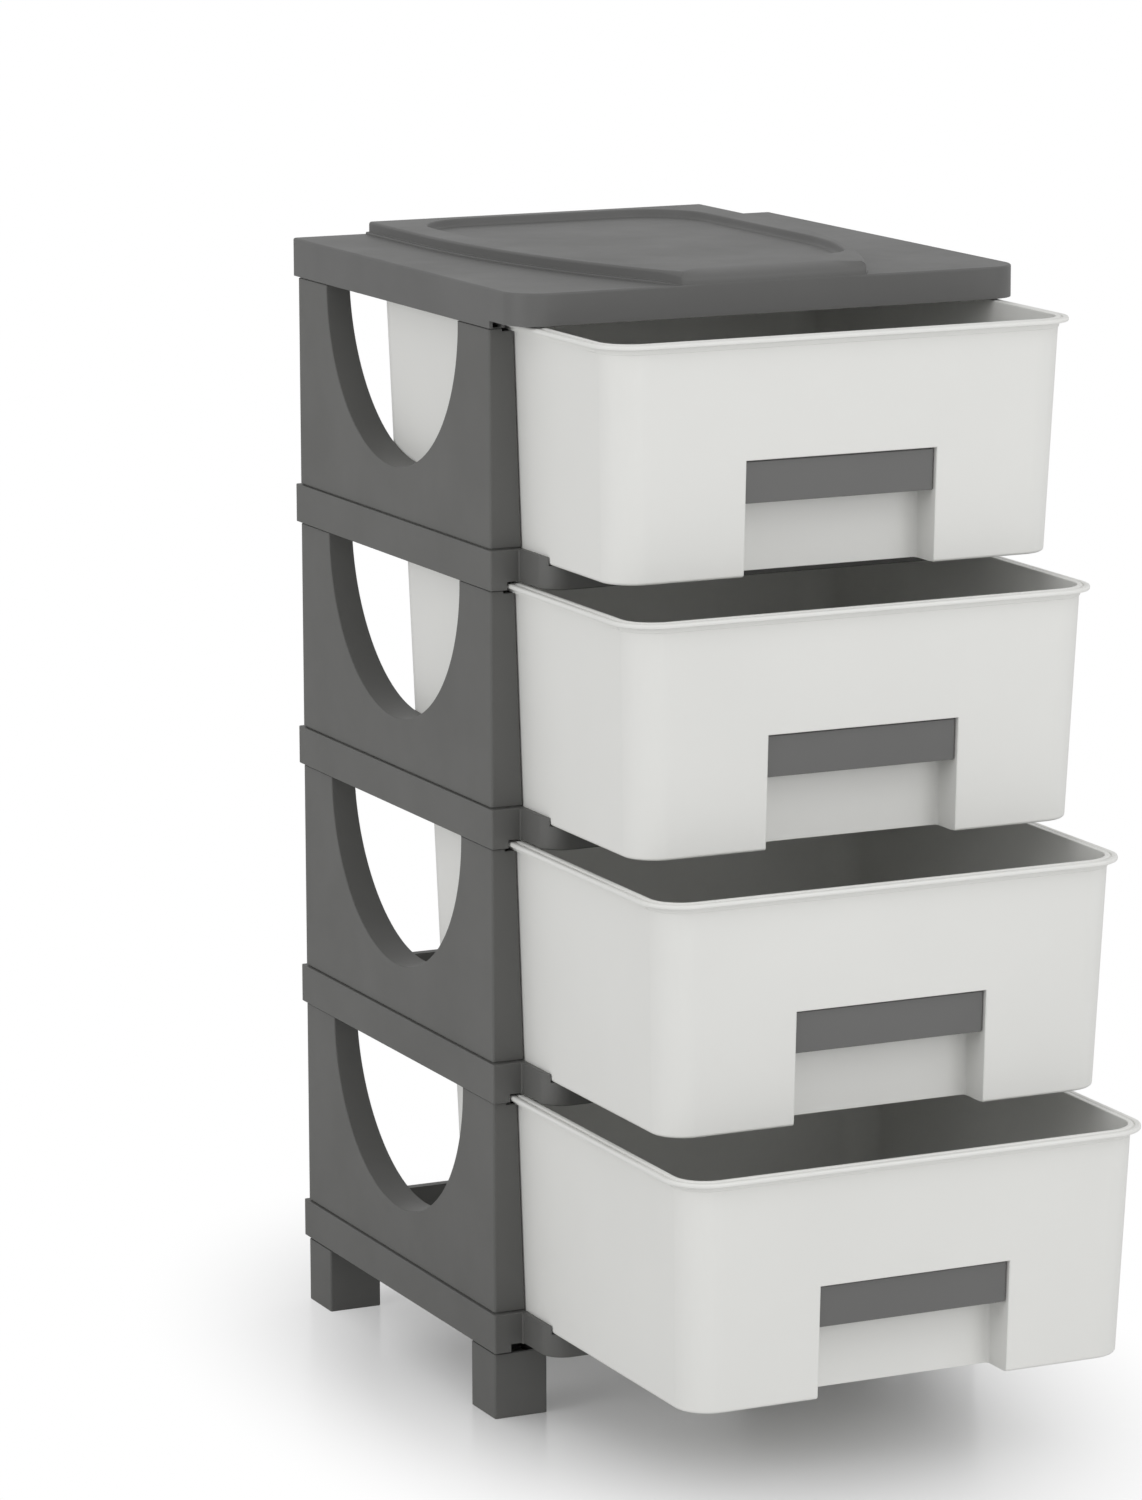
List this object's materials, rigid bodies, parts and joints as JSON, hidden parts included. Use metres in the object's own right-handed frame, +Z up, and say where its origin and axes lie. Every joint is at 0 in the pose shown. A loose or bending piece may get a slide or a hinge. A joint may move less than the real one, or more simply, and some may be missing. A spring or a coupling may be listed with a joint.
{
  "type": "drawer tower",
  "caption": "Free-standing moulded storage tower: stacked side panels and ring frames under a tray-topped lid, with open-topped drawers that slide out.",
  "frame": {"origin": "on the floor, under the middle of the tower with its drawers as they stand open", "axes": "+X to the right seen from the front, +Y to the back, +Z up"},
  "size_m": [0.404, 0.64, 0.8414],
  "materials": {
    "tower_grey": "fine moulded texture, satin",
    "lid_grey": "fine moulded texture, satin",
    "drawer_white": "smooth moulded, soft satin",
    "grip_grey": "fine moulded texture, satin"
  },
  "bodies": {
    "carcass": {"top_cover": "lid_grey", "side_panel_left_1": "tower_grey", "side_panel_left_2": "tower_grey", "side_panel_left_3": "tower_grey", "side_panel_left_4": "tower_grey", "side_panel_right_1": "tower_grey", "side_panel_right_2": "tower_grey", "side_panel_right_3": "tower_grey", "side_panel_right_4": "tower_grey", "frame_1": "tower_grey", "frame_2": "tower_grey", "frame_3": "tower_grey", "frame_4": "tower_grey", "leg_front_left": "tower_grey", "leg_front_right": "tower_grey", "leg_back_left": "tower_grey", "leg_back_right": "tower_grey"},
    "drawer_1": {"drawer_1": "drawer_white", "grip_1": "grip_grey"},
    "drawer_2": {"drawer_2": "drawer_white", "grip_2": "grip_grey"},
    "drawer_3": {"drawer_3": "drawer_white", "grip_3": "grip_grey"},
    "drawer_4": {"drawer_4": "drawer_white", "grip_4": "grip_grey"}
  },
  "joints": [
    {"name": "drawer_1_slide", "type": "slide", "parent": "carcass", "child": "drawer_1", "axis": [0, -1, 0], "range_m": [-0.1005, 0.1545]},
    {"name": "drawer_2_slide", "type": "slide", "parent": "carcass", "child": "drawer_2", "axis": [0, -1, 0], "range_m": [-0.1355, 0.1195]},
    {"name": "drawer_3_slide", "type": "slide", "parent": "carcass", "child": "drawer_3", "axis": [0, -1, 0], "range_m": [-0.18, 0.075]},
    {"name": "drawer_4_slide", "type": "slide", "parent": "carcass", "child": "drawer_4", "axis": [0, -1, 0], "range_m": [-0.218, 0.037]}
  ]
}
